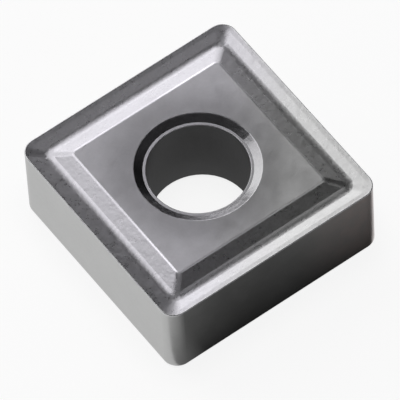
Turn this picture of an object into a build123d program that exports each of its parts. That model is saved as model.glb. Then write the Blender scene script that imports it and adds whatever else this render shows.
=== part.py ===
from build123d import *

import os
from math import atan2, degrees

# Square double-sided carbide turning insert with a moulded chip groove round each face.
# It is one pressed, sintered and ground piece. Millimetres, +Z up along the bore,
# origin at the centre of the lower seat face, sides parallel to X and Y.

# Overall sizes
inscribed_circle = 12.70  # circle that touches the four cutting edges
seat_to_corner = 4.76  # from one seat face to the cutting corner of the other face
nose_radius = 0.80
bore_diameter = 5.16

# Raised seat in the middle of each face
seat_rise = 0.15  # seat above the cutting edges
seat_inset = 1.90  # edge of the seat, measured in from the cutting edge
seat_corner_radius = 0.25
seat_edge_round = 0.30

# Chip groove between the cutting edge and the seat
land_width = 0.28  # narrow strip behind the cutting edge
land_drop = 0.045
groove_inset = 0.96  # bottom of the groove, measured in from the cutting edge
groove_depth = 0.19  # bottom of the groove below the cutting edge
groove_corner_radius = 0.30
groove_floor_radius = 0.80
edge_hone = 0.04

# Conical recess with a narrow ledge, round each mouth of the bore
ledge_width = 0.17
recess_wall_run = 0.44
recess_depth = 0.22
bore_edge_round = 0.05

# Sizes that follow
bore_radius = bore_diameter / 2
overall_height = seat_to_corner + seat_rise
mid_height = overall_height / 2
edge_height = seat_to_corner
groove_height = edge_height - groove_depth
land_taper = degrees(atan2(land_width, land_drop))
recess_radius = bore_radius + ledge_width + recess_wall_run
recess_taper = degrees(atan2(recess_wall_run, recess_depth))


def square_outline(inset, corner_radius):
    """Rounded square whose sides lie a given distance inside the cutting edges."""
    side = inscribed_circle - 2 * inset
    return RectangleRounded(side, side, corner_radius)


with BuildPart() as insert:
    # Upper half of the blank: a straight prism with rounded noses and no side relief
    with BuildSketch(Plane.XY.offset(mid_height)):
        square_outline(0, nose_radius)
    extrude(amount=edge_height - mid_height)

    # Narrow land behind the cutting edge, sloping in round the noses
    with BuildSketch(Plane.XY.offset(edge_height)):
        square_outline(0, nose_radius)
    extrude(amount=-land_drop, taper=land_taper, mode=Mode.SUBTRACT)

    # Honed cutting edge
    cutting_edge = insert.edges().filter_by_position(Axis.Z, edge_height, edge_height)
    fillet(cutting_edge, edge_hone)

    # Rake face from the land down to the groove line.
    # The noses fan in from the land's radius to the tighter corner of the groove.
    with BuildSketch(Plane.XY.offset(edge_height - land_drop)):
        square_outline(land_width, nose_radius - land_width)
    with BuildSketch(Plane.XY.offset(groove_height)):
        square_outline(groove_inset, groove_corner_radius)
    loft(ruled=True, mode=Mode.SUBTRACT)

    # Back wall of the groove, rising to the flat seat
    with BuildSketch(Plane.XY.offset(groove_height)):
        square_outline(groove_inset, groove_corner_radius)
    with BuildSketch(Plane.XY.offset(overall_height)):
        square_outline(seat_inset, seat_corner_radius)
    loft(ruled=True)

    # Rounded floor of the groove and softened edge of the seat
    groove_line = insert.edges().filter_by_position(Axis.Z, groove_height, groove_height)
    fillet(groove_line, groove_floor_radius)
    seat_edge = insert.faces().sort_by(Axis.Z)[-1].edges()
    fillet(seat_edge, seat_edge_round)

    # Conical recess in the seat, down to the ledge
    with BuildSketch(Plane.XY.offset(overall_height)):
        Circle(recess_radius)
    extrude(amount=-recess_depth, taper=recess_taper, mode=Mode.SUBTRACT)

    # Lower half is the same face turned over
    mirror(about=Plane.XY.offset(mid_height))

    # Bore for the lever or clamping pin, with a rounded edge at each ledge
    with Locations((0, 0, mid_height)):
        Hole(bore_radius)
    bore_edges = insert.edges(Select.LAST).filter_by(GeomType.CIRCLE)
    fillet(bore_edges, bore_edge_round)

insert.part.label = "insert"

os.makedirs("parts", exist_ok=True)
export_step(insert.part, "parts/insert.step")
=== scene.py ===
import math

import bpy
from mathutils import Matrix, Vector


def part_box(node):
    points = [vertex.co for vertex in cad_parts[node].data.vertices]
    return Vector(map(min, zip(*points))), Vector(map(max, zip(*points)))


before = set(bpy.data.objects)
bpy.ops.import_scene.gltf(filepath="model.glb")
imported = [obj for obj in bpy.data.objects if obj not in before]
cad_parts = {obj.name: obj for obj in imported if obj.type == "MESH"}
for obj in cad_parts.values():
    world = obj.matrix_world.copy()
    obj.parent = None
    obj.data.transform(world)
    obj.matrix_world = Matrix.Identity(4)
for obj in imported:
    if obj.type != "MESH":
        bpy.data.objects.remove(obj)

# A square carbide turning insert on a pale floor, in a dim studio with a few softboxes.
# The insert keeps its CAD mesh. This script gives it its finish, and adds the set round it.

MM = 0.001

# Camera, at the viewing angle that was solved from the outline of the insert
CAMERA_AZIMUTH = math.radians(-33.225)
CAMERA_ELEVATION = math.radians(56.793)
CAMERA_ROLL = math.radians(-3.738)
CAMERA_DISTANCE = 398.0 * MM
CAMERA_PAN = Vector((-0.005 * MM, 0.307 * MM))
CAMERA_CLIP = 10  # it sees from its distance over this, to its distance times this
PIXELS_PER_MM = 20.279
IMAGE_PIXELS = 400
SENSOR_WIDTH = 36.0

# Softboxes: name, azimuth, elevation and half angle in degrees, radiance
LAMP_DISTANCE = 0.25
SOFTBOXES = [
    ("key_right", 60.8, 23.3, 16.3, 1.22),
    ("key_left", 95.2, 40.4, 26.5, 1.16),
    ("key_high", 107.8, 62.4, 12.7, 0.85),
    ("fill_right", 39.3, 25.0, 8.0, 0.98),
    ("fill_high", 8.5, 68.4, 8.0, 0.65),
    ("overhead", 0.0, 90.0, 11.0, 0.22),
]
FLOOR_LAMP = ("floor_lamp", 0.0, 90.0, 16.7, 6.0)

# Studio walls in the world. The heights are sines of elevations. On the dim side, the walls fall
# to a share of their level between two angles from that side, which are given as cosines.
WALL_TOP = math.sin(math.radians(20))
CEILING_START = math.sin(math.radians(44))
WALL_LEVEL = 0.42
CEILING_LEVEL = 0.035
DIM_SIDE = math.radians(15)
DIM_EDGE = math.cos(math.radians(58))
DIM_CORE = math.cos(math.radians(32))
DIM_SHARE = 0.03

FLOOR_SIZE = 2.0
FLOOR_PAPER = (0.9, 0.9, 0.9, 1)
FLOOR_ROUGHNESS = 0.9
FLOOR_WHITE_SHARE = 0.85

# Cards that lie just above the floor and that only reflections see: painted shadow of the insert on
# the floor in front of it, and painted shade under the bore. Sizes in millimetres, and radiances
CARD_LIFT = 0.02
CARD_REACH = 60.0
FRONT_CARD_LEFT = -10.5
FRONT_CARD_DARK_FROM = -4.3
FRONT_CARD_LEFT_LEVEL = 0.80
FRONT_CARD_NEAR_LEVEL = 0.016
FRONT_CARD_FAR_LEVEL = 0.18
FRONT_CARD_DEPTH = 5.5
FRONT_CARD_MIDDLE = 1.5
FRONT_CARD_END_GAIN = 2.0
BORE_CARD_MIDDLE_LEVEL = 0.045
BORE_CARD_RIM_LEVEL = 0.11
BORE_CARD_RIM = 2.4

# Shape of the insert that its finish follows, millimetres
NOSE_RADIUS = 0.8
SEAT_RISE = 0.15

# Where each finish fades in or out. Levelness is 1 on a level face and 0 on an upright one.
# The rest are millimetres: radius from the bore's axis, depth below the seat, and width of the
# hone from the cutting edge.
UPRIGHT_LEVELNESS = (0.2, 0.6)
LEDGE_LEVELNESS = (0.93, 0.98)
FLANK_RADIUS = (4.0, 5.0)
BORE_RADIUS = (2.65, 2.9)
LEDGE_RADIUS = (2.78, 2.9)
RECESS_RADIUS = (3.2, 3.4)
SEAT_DEPTH = (0.03, 0.006)
HONE_WIDTH = (0.03, 0.12)

# Noises, with scales per millimetre
CLOUD = {"scale": 0.3, "detail": 2.0}
MOTTLE = {"scale": 1.5, "detail": 3.0, "roughness": 0.55, "warp": 0.3}
WAVE = {"scale": 2.6, "detail": 1.0}
GRAIN = {"scale": 6.5, "detail": 2.0, "roughness": 0.6}
BROAD_SPREAD = (0.25, 0.75)
GRAIN_SPREAD = (0.3, 0.7)

# Grinding lines: in plan by angle in degrees, pitch and run in millimetres, or by scale along
# each axis per millimetre
SEAT_LINES = {"angle": 24.0, "pitch": 0.07, "run": 4.0, "detail": 1.0}
CROSS_LINES = {"angle": 118.0, "pitch": 0.10, "run": 2.5, "detail": 1.0}
FLANK_LINES = {"scales": (0.35, 0.35, 11.0), "detail": 2.0}
BORE_LINES = {"scales": (8.0, 8.0, 0.4), "detail": 2.0}

# Reflectance of the finishes
FACE_NEUTRAL = (0.50, 0.50, 0.50, 1)
FACE_VIOLET = (0.508, 0.498, 0.532, 1)
FLANK_GREY = (0.419, 0.421, 0.418, 1)
FLANK_STAIN = (0.465, 0.410, 0.395, 1)
BORE_GREY = (0.47, 0.47, 0.475, 1)
# Paler honed edge: partly wear, partly a painted highlight
EDGE_WEAR_AND_HIGHLIGHT = (0.60, 0.60, 0.61, 1)

# Violet tint. It comes in over a stretch of y - x, in millimetres, which the clouds shift.
VIOLET_STRETCH = (-6.0, 1.5)
VIOLET_CLOUD = 3.0

# Brown stain near the +X end of the -Y flank
STAIN_X = (0.5, 5.5)
STAIN_Y = (-5.6, -6.2)
STAIN_MOTTLE = (0.35, 0.6)
STAIN_LEAST = 0.6

# Factors on the reflectance. The seat is paler towards its corners, but less so towards the
# -X +Y one, over a stretch of x - y in millimetres: this paleness is painted light.
CORNER_RADIUS = (3.4, 5.2)
CORNER_PAINTED_LIGHT = (1.05, 1.56)
DULL_CORNER_STRETCH = (-7.0, -1.0)
DULL_CORNER_PAINTED_LIGHT = 0.76
# Painted shade: the recess round the bore is darker
RECESS_PAINTED_SHADE = 0.85
# Painted light: the ledge round the bore is paler
LEDGE_PAINTED_LIGHT = 1.28
MOTTLE_SHADE = 0.04
CLOUD_SHADE = 0.03
GROUND_GRAIN_SHADE = 0.02
SINTERED_GRAIN_SHADE = 0.07

# Worn edges, whose paler colour is partly real wear and partly a painted highlight
WEAR_AND_HIGHLIGHT_WAVE = (0.35, 0.6)
WEAR_AND_HIGHLIGHT_LEAST = 0.4

# Roughness, and what is added to it
ROUGHNESS = 0.3
MOTTLE_ROUGHNESS = 0.025
GRAIN_ROUGHNESS = 0.03
RECESS_ROUGHNESS = -0.10
BORE_ROUGHNESS = 0.12
FLANK_ROUGHNESS = 0.02
WORN_ROUGHNESS = -0.06

# Heights of the relief, millimetres
GROUND_WAVE_HEIGHT = 0.0015
SINTERED_WAVE_HEIGHT = 0.006
GROUND_GRAIN_HEIGHT = 0.0004
SINTERED_GRAIN_HEIGHT = 0.0033
SEAT_LINES_HEIGHT = 0.0015
CROSS_LINES_HEIGHT = 0.0012
FLANK_LINES_HEIGHT = 0.0045
BORE_LINES_HEIGHT = 0.006

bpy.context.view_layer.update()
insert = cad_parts["insert"]
low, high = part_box("insert")
centre = (low + high) / 2
half_width = (high.x - low.x) / 2 / MM
half_height = (high.z - low.z) / 2 / MM


def way_to(azimuth, elevation):
    """Unit vector towards an azimuth from +X and an elevation, both in degrees."""
    turn, rise = math.radians(azimuth), math.radians(elevation)
    return Vector((
        math.cos(rise) * math.cos(turn),
        math.cos(rise) * math.sin(turn),
        math.sin(rise),
    ))


def make_camera():
    """Long-lens camera that looks at the middle of the insert."""
    back = Vector((
        math.sin(CAMERA_AZIMUTH) * math.cos(CAMERA_ELEVATION),
        -math.cos(CAMERA_AZIMUTH) * math.cos(CAMERA_ELEVATION),
        math.sin(CAMERA_ELEVATION),
    ))
    level_right = Vector((math.cos(CAMERA_AZIMUTH), math.sin(CAMERA_AZIMUTH), 0))
    level_up = back.cross(level_right)
    right = math.cos(CAMERA_ROLL) * level_right + math.sin(CAMERA_ROLL) * level_up
    up = math.cos(CAMERA_ROLL) * level_up - math.sin(CAMERA_ROLL) * level_right
    data = bpy.data.cameras.new("camera")
    data.sensor_width = SENSOR_WIDTH
    data.lens = SENSOR_WIDTH * PIXELS_PER_MM * CAMERA_DISTANCE / MM / IMAGE_PIXELS
    data.clip_start = CAMERA_DISTANCE / CAMERA_CLIP
    data.clip_end = CAMERA_DISTANCE * CAMERA_CLIP
    camera = bpy.data.objects.new("camera", data)
    bpy.context.scene.collection.objects.link(camera)
    turn = Matrix((right, up, back)).transposed()
    place = centre + back * CAMERA_DISTANCE - CAMERA_PAN.x * right - CAMERA_PAN.y * up
    camera.matrix_world = Matrix.Translation(place) @ turn.to_4x4()
    bpy.context.scene.camera = camera


def soft_lamp(name, azimuth, elevation, half_angle, radiance):
    """Round softbox that faces the insert and fills a cone of the given half angle."""
    data = bpy.data.lights.new(name, "AREA")
    data.shape = "DISK"
    radius = LAMP_DISTANCE * math.tan(math.radians(half_angle))
    data.size = 2 * radius
    area = math.pi * radius**2
    data.energy = radiance * math.pi * area
    light = bpy.data.objects.new(name, data)
    bpy.context.scene.collection.objects.link(light)
    way = way_to(azimuth, elevation)
    light.location = centre + way * LAMP_DISTANCE
    light.rotation_mode = "QUATERNION"
    light.rotation_quaternion = way.to_track_quat("Z", "Y")
    light.visible_camera = False
    return light


class Graph:
    """Short way to write a node tree."""

    def __init__(self, owner):
        owner.use_nodes = True
        self.tree = owner.node_tree

    def __getitem__(self, name):
        return self.tree.nodes[name]

    def set(self, socket, value):
        if isinstance(value, bpy.types.NodeSocket):
            self.tree.links.new(value, socket)
        else:
            socket.default_value = value

    def add(self, kind, *values, output=0, **settings):
        """Adds a node, fills its first inputs in order and returns one output."""
        node = self.tree.nodes.new(kind)
        for key, value in settings.items():
            setattr(node, key, value)
        for socket, value in zip(node.inputs, values):
            self.set(socket, value)
        return node.outputs[output]

    def math(self, operation, *values):
        return self.add("ShaderNodeMath", *values, operation=operation)

    def vector(self, operation, *values, output=0):
        return self.add("ShaderNodeVectorMath", *values, operation=operation, output=output)

    def ramp(self, value, start, end, low=0.0, high=1.0, smooth=True):
        """Goes from low at start to high at end."""
        kind = "SMOOTHSTEP" if smooth else "LINEAR"
        return self.add(
            "ShaderNodeMapRange", value, start, end, low, high, interpolation_type=kind
        )

    def swing(self, noise, spread, amount):
        """Noise over a spread of its values, as a number from -amount to amount."""
        return self.ramp(noise, *spread, -amount, amount, smooth=False)

    def mix(self, share, first, second, kind="Color"):
        """Mix of two colours, or of two numbers where the kind is Float."""
        node = self.tree.nodes.new("ShaderNodeMix")
        node.data_type = "RGBA" if kind == "Color" else "FLOAT"
        sockets = {socket.identifier: socket for socket in node.inputs}
        self.set(sockets["Factor_Float"], share)
        self.set(sockets["A_" + kind], first)
        self.set(sockets["B_" + kind], second)
        return next(s for s in node.outputs if s.identifier == "Result_" + kind)

    def blend(self, share, first, second):
        """Mix of two numbers."""
        return self.mix(share, first, second, "Float")

    def scale(self, vector, factor):
        """Vector or colour times a number."""
        node = self.tree.nodes.new("ShaderNodeVectorMath")
        node.operation = "SCALE"
        self.set(node.inputs["Vector"], vector)
        self.set(node.inputs["Scale"], factor)
        return node.outputs["Vector"]

    def coords(self):
        """Texture coordinates, by name."""
        return self.tree.nodes.new("ShaderNodeTexCoord").outputs

    def combine(self, x, y):
        """Vector with a z of 0."""
        return self.add("ShaderNodeCombineXYZ", x, y)

    def parts(self, vector):
        """The x, y and z of a vector."""
        node = self.tree.nodes.new("ShaderNodeSeparateXYZ")
        self.set(node.inputs[0], vector)
        return tuple(node.outputs)

    def length(self, x, y):
        """Length of the vector (x, y)."""
        return self.vector("LENGTH", self.combine(x, y), output=1)

    def total(self, *terms):
        """Sum of several numbers."""
        result = terms[0]
        for term in terms[1:]:
            result = self.math("ADD", result, term)
        return result

    def product(self, *factors):
        """Product of several numbers."""
        result = factors[0]
        for factor in factors[1:]:
            result = self.math("MULTIPLY", result, factor)
        return result

    def largest(self, *values):
        """Largest of several numbers."""
        result = values[0]
        for value in values[1:]:
            result = self.math("MAXIMUM", result, value)
        return result

    def noise(self, place, scale, detail, roughness=0.5, warp=0.0):
        """Noise between 0 and 1 at a scale per millimetre."""
        node = self.tree.nodes.new("ShaderNodeTexNoise")
        for name, value in (
            ("Vector", place), ("Scale", scale), ("Detail", detail),
            ("Roughness", roughness), ("Distortion", warp),
        ):
            self.set(node.inputs[name], value)
        return node.outputs[0]

    def drawn_noise(self, place, scales, detail):
        """Noise with its own scale per millimetre along each axis."""
        return self.noise(self.vector("MULTIPLY", place, scales), 1.0, detail)

    def stripes(self, place, angle, pitch, run, detail):
        """Noise drawn out along a direction in plan: fine scratches of a given pitch and run."""
        turn = math.radians(angle)
        along_way = (math.cos(turn), math.sin(turn), 0)
        across_way = (-math.sin(turn), math.cos(turn), 0)
        along = self.vector("DOT_PRODUCT", place, along_way, output=1)
        across = self.vector("DOT_PRODUCT", place, across_way, output=1)
        drawn = self.combine(self.product(along, 1 / run), self.product(across, 1 / pitch))
        return self.noise(drawn, 1.0, detail)


def make_world():
    """Dim studio: pale walls round the horizon, darker at one side, and a dark ceiling."""
    world = bpy.data.worlds.new("studio")
    graph = Graph(world)
    way = graph.coords()["Generated"]
    height = graph.parts(way)[2]
    wall = graph.ramp(height, WALL_TOP, CEILING_START, WALL_LEVEL, CEILING_LEVEL)
    dim_way = (math.cos(DIM_SIDE), math.sin(DIM_SIDE), 0)
    toward = graph.vector("DOT_PRODUCT", way, dim_way, output=1)
    side = graph.ramp(toward, DIM_EDGE, DIM_CORE, 1.0, DIM_SHARE)
    background = graph["Background"].inputs
    graph.set(background["Strength"], graph.product(wall, side))
    graph.set(background["Color"], (1, 1, 1, 1))
    bpy.context.scene.world = world


def make_floor():
    """Pale paper floor, which the camera and reflections see as nearly white."""
    bpy.ops.mesh.primitive_plane_add(size=FLOOR_SIZE, location=(0, 0, 0))
    floor = bpy.context.object
    floor.name = "floor"
    material = bpy.data.materials.new("floor")
    graph = Graph(material)
    paper = graph["Principled BSDF"]
    graph.set(paper.inputs["Base Color"], FLOOR_PAPER)
    graph.set(paper.inputs["Roughness"], FLOOR_ROUGHNESS)
    graph.set(paper.inputs["Specular IOR Level"], 0.0)
    white = graph.add("ShaderNodeEmission")
    rays = graph.tree.nodes.new("ShaderNodeLightPath").outputs
    seen = graph.largest(rays["Is Camera Ray"], rays["Is Glossy Ray"], rays["Is Transmission Ray"])
    share = graph.product(seen, FLOOR_WHITE_SHARE)
    mixed = graph.add("ShaderNodeMixShader", share, paper.outputs[0], white)
    graph.set(graph["Material Output"].inputs["Surface"], mixed)
    floor.data.materials.append(material)


def reflected_shadow_card(name, x_range, y_range):
    """Card flat on the floor that only reflections see, a painted shadow; returns its graph and
    place in it.
    """
    x0, x1 = x_range
    y0, y1 = y_range
    mesh = bpy.data.meshes.new(name)
    corners = [(x0, y0), (x1, y0), (x1, y1), (x0, y1)]
    points = [(x * MM, y * MM, CARD_LIFT * MM) for x, y in corners]
    mesh.from_pydata(points, [], [(0, 1, 2, 3)])
    card = bpy.data.objects.new(name, mesh)
    bpy.context.scene.collection.objects.link(card)
    material = bpy.data.materials.new(name)
    graph = Graph(material)
    shader = graph["Principled BSDF"]
    graph.set(shader.inputs["Base Color"], (0, 0, 0, 1))
    graph.set(shader.inputs["Specular IOR Level"], 0.0)
    graph.set(shader.inputs["Emission Color"], (1, 1, 1, 1))
    mesh.materials.append(material)
    card.visible_camera = False
    card.visible_diffuse = False
    card.visible_transmission = False
    card.visible_volume_scatter = False
    card.visible_shadow = False
    return graph, graph.scale(graph.coords()["Object"], 1 / MM)


def make_front_shadow_card():
    """Dark card in front of the -Y flank, a painted shadow on the floor that only reflections see:
    paler to its left, at its ends and farther out.
    """
    front = -half_width
    graph, place = reflected_shadow_card("front_shadow_card", (FRONT_CARD_LEFT, CARD_REACH), (-CARD_REACH, front))
    across, away, _ = graph.parts(place)
    # Painted shadow: darkest next to the flank, paler farther out
    dark = graph.ramp(
        away, front, front - FRONT_CARD_DEPTH, FRONT_CARD_NEAR_LEVEL, FRONT_CARD_FAR_LEVEL,
        smooth=False,
    )
    off_middle = graph.math("ABSOLUTE", across)
    ends = graph.ramp(off_middle, FRONT_CARD_MIDDLE, half_width, 1.0, FRONT_CARD_END_GAIN)
    fade = graph.ramp(across, FRONT_CARD_LEFT, FRONT_CARD_DARK_FROM, smooth=False)
    level = graph.blend(fade, FRONT_CARD_LEFT_LEVEL, graph.product(dark, ends))
    graph.set(graph["Principled BSDF"].inputs["Emission Strength"], level)


def make_bore_shadow_card():
    """Dark card under the bore, painted shade that only reflections see, a little paler towards the
    bore's rim.
    """
    side = (-half_width / 2, half_width / 2)
    graph, place = reflected_shadow_card("bore_shadow_card", side, side)
    off_axis = graph.length(*graph.parts(place)[:2])
    # Painted shade: darkest under the bore's axis, paler towards its rim
    level = graph.ramp(
        off_axis, 0.0, BORE_CARD_RIM, BORE_CARD_MIDDLE_LEVEL, BORE_CARD_RIM_LEVEL
    )
    graph.set(graph["Principled BSDF"].inputs["Emission Strength"], level)


class Surface:
    """A point on the insert: where it is, its share of each finish, and the noises there."""

    def __init__(self, graph):
        coords = graph.coords()
        self.place = graph.scale(coords["Object"], 1 / MM)
        self.x, self.y, z = graph.parts(self.place)
        self.radius = graph.length(self.x, self.y)
        self.height = graph.math("ABSOLUTE", graph.math("SUBTRACT", z, half_height))
        self.levelness = graph.math("ABSOLUTE", graph.parts(coords["Normal"])[2])
        self.find_finishes(graph)
        self.add_noises(graph)
        self.find_worn_highlit_edge(graph)

    def find_finishes(self, graph):
        """Share from 0 to 1 of each ground finish, of the sintered rest and of the recess in it."""
        upright = graph.ramp(self.levelness, *UPRIGHT_LEVELNESS, 1.0, 0.0)
        self.flank = graph.product(upright, graph.ramp(self.radius, *FLANK_RADIUS))
        self.bore = graph.product(upright, graph.ramp(self.radius, *BORE_RADIUS, 1.0, 0.0))
        self.seat = graph.ramp(self.height, *(half_height - depth for depth in SEAT_DEPTH))
        self.ledge = graph.product(
            graph.ramp(self.levelness, *LEDGE_LEVELNESS),
            graph.ramp(self.radius, *LEDGE_RADIUS, 1.0, 0.0),
        )
        ground = graph.largest(self.flank, self.bore, self.seat, self.ledge)
        self.sintered = graph.math("SUBTRACT", 1.0, ground)
        in_recess = graph.ramp(self.radius, *RECESS_RADIUS, 1.0, 0.0)
        self.recess = graph.product(self.sintered, in_recess)

    def add_noises(self, graph):
        """Noises from 0 to 1, from broad to fine, and the grain as a number from -1 to 1."""
        self.cloud = graph.noise(self.place, **CLOUD)
        self.mottle = graph.noise(self.place, **MOTTLE)
        self.wave = graph.noise(self.place, **WAVE)
        self.grain = graph.noise(self.place, **GRAIN)
        self.speckle = graph.swing(self.grain, GRAIN_SPREAD, 1.0)

    def find_worn_highlit_edge(self, graph):
        """Share from 0 to 1 of the bright, unevenly worn edge: partly real wear, partly a painted
        highlight.
        """
        hone = graph.ramp(self.distance_to_edge(graph), *HONE_WIDTH, 1.0, 0.0)
        self.worn_and_highlit = graph.product(hone, graph.ramp(self.wave, *WEAR_AND_HIGHLIGHT_WAVE, WEAR_AND_HIGHLIGHT_LEAST, 1.0))

    def distance_to_edge(self, graph):
        """Distance in millimetres to the nearest cutting edge, which runs round the noses."""
        straight = half_width - NOSE_RADIUS
        past_x, past_y = (
            graph.largest(graph.math("SUBTRACT", graph.math("ABSOLUTE", value), straight), 0.0)
            for value in (self.x, self.y)
        )
        inset = graph.math("SUBTRACT", NOSE_RADIUS, graph.length(past_x, past_y))
        below = graph.math("SUBTRACT", half_height - SEAT_RISE, self.height)
        return graph.length(inset, below)


def carbide_shade(graph, surface):
    """Factor on the reflectance: painted light on the seat corners and ledge, painted shade in the
    recess, and the carbide's own mottling and grain.
    """
    # Painted light: the seat is paler towards its corners, less so towards the -X +Y one
    from_dull_corner = graph.total(surface.x, graph.product(surface.y, -1.0))
    corner_painted_light = graph.product(
        graph.ramp(surface.radius, *CORNER_RADIUS, *CORNER_PAINTED_LIGHT),
        graph.ramp(from_dull_corner, *DULL_CORNER_STRETCH, DULL_CORNER_PAINTED_LIGHT, 1.0),
    )
    grain_shade = graph.blend(surface.sintered, GROUND_GRAIN_SHADE, SINTERED_GRAIN_SHADE)
    return graph.product(
        graph.blend(surface.seat, 1.0, corner_painted_light),
        # Painted shade in the recess
        graph.blend(surface.recess, 1.0, RECESS_PAINTED_SHADE),
        # Painted light on the ledge
        graph.blend(surface.ledge, 1.0, LEDGE_PAINTED_LIGHT),
        graph.total(1.0, graph.swing(surface.mottle, BROAD_SPREAD, MOTTLE_SHADE)),
        graph.total(1.0, graph.swing(surface.cloud, BROAD_SPREAD, CLOUD_SHADE)),
        graph.total(1.0, graph.product(surface.speckle, grain_shade)),
    )


def carbide_colour(graph, surface):
    """Slightly violet faces, grey flanks with one brown stain, grey bore, and bright edges that are
    partly wear and partly a painted highlight.
    """
    tint_way = graph.total(
        surface.y,
        graph.product(surface.x, -1.0),
        graph.product(surface.cloud, VIOLET_CLOUD),
    )
    colour = graph.mix(graph.ramp(tint_way, *VIOLET_STRETCH), FACE_NEUTRAL, FACE_VIOLET)
    colour = graph.mix(surface.flank, colour, FLANK_GREY)
    stain = graph.product(
        surface.flank,
        graph.ramp(surface.x, *STAIN_X),
        graph.ramp(surface.y, *STAIN_Y),
        graph.ramp(surface.mottle, *STAIN_MOTTLE, STAIN_LEAST, 1.0),
    )
    colour = graph.mix(stain, colour, FLANK_STAIN)
    colour = graph.mix(surface.bore, colour, BORE_GREY)
    shaded = graph.scale(colour, carbide_shade(graph, surface))
    # Paler edge: partly wear, partly a painted highlight
    return graph.mix(surface.worn_and_highlit, shaded, EDGE_WEAR_AND_HIGHLIGHT)


def carbide_roughness(graph, surface):
    """Satin finish: smoother in the recess and on worn edges, rougher in the bore."""
    return graph.total(
        ROUGHNESS,
        graph.swing(surface.mottle, BROAD_SPREAD, MOTTLE_ROUGHNESS),
        graph.product(surface.speckle, surface.sintered, GRAIN_ROUGHNESS),
        graph.product(surface.recess, RECESS_ROUGHNESS),
        graph.product(surface.bore, BORE_ROUGHNESS),
        graph.product(surface.flank, FLANK_ROUGHNESS),
        graph.product(surface.worn_and_highlit, WORN_ROUGHNESS),
    )


def carbide_relief(graph, surface):
    """Height in millimetres: waves and grain, and grinding lines on seats, flanks and bore."""
    seat_lines = graph.stripes(surface.place, **SEAT_LINES)
    cross_lines = graph.stripes(surface.place, **CROSS_LINES)
    flank_lines = graph.drawn_noise(surface.place, **FLANK_LINES)
    bore_lines = graph.drawn_noise(surface.place, **BORE_LINES)
    wave_height = graph.blend(surface.sintered, GROUND_WAVE_HEIGHT, SINTERED_WAVE_HEIGHT)
    grain_height = graph.blend(surface.sintered, GROUND_GRAIN_HEIGHT, SINTERED_GRAIN_HEIGHT)
    return graph.total(
        graph.product(surface.wave, wave_height),
        graph.product(surface.grain, grain_height),
        graph.product(seat_lines, surface.seat, SEAT_LINES_HEIGHT),
        graph.product(cross_lines, surface.seat, CROSS_LINES_HEIGHT),
        graph.product(flank_lines, surface.flank, FLANK_LINES_HEIGHT),
        graph.product(bore_lines, surface.bore, BORE_LINES_HEIGHT),
    )


def carbide_material():
    """Sintered carbide: grainy grooves, ground seats, flanks and bore, and honed edges."""
    material = bpy.data.materials.new("carbide")
    graph = Graph(material)
    shader = graph["Principled BSDF"]
    surface = Surface(graph)
    graph.set(shader.inputs["Metallic"], 1.0)
    graph.set(shader.inputs["Base Color"], carbide_colour(graph, surface))
    graph.set(shader.inputs["Roughness"], carbide_roughness(graph, surface))
    bump = graph.tree.nodes.new("ShaderNodeBump")
    graph.set(bump.inputs["Distance"], MM)
    graph.set(bump.inputs["Height"], carbide_relief(graph, surface))
    graph.set(shader.inputs["Normal"], bump.outputs[0])
    return material


make_camera()
make_world()
make_floor()
make_front_shadow_card()
make_bore_shadow_card()
for box in SOFTBOXES:
    soft_lamp(*box)
soft_lamp(*FLOOR_LAMP).visible_glossy = False
insert.data.materials[0] = carbide_material()

bpy.context.scene.view_settings.view_transform = "Standard"
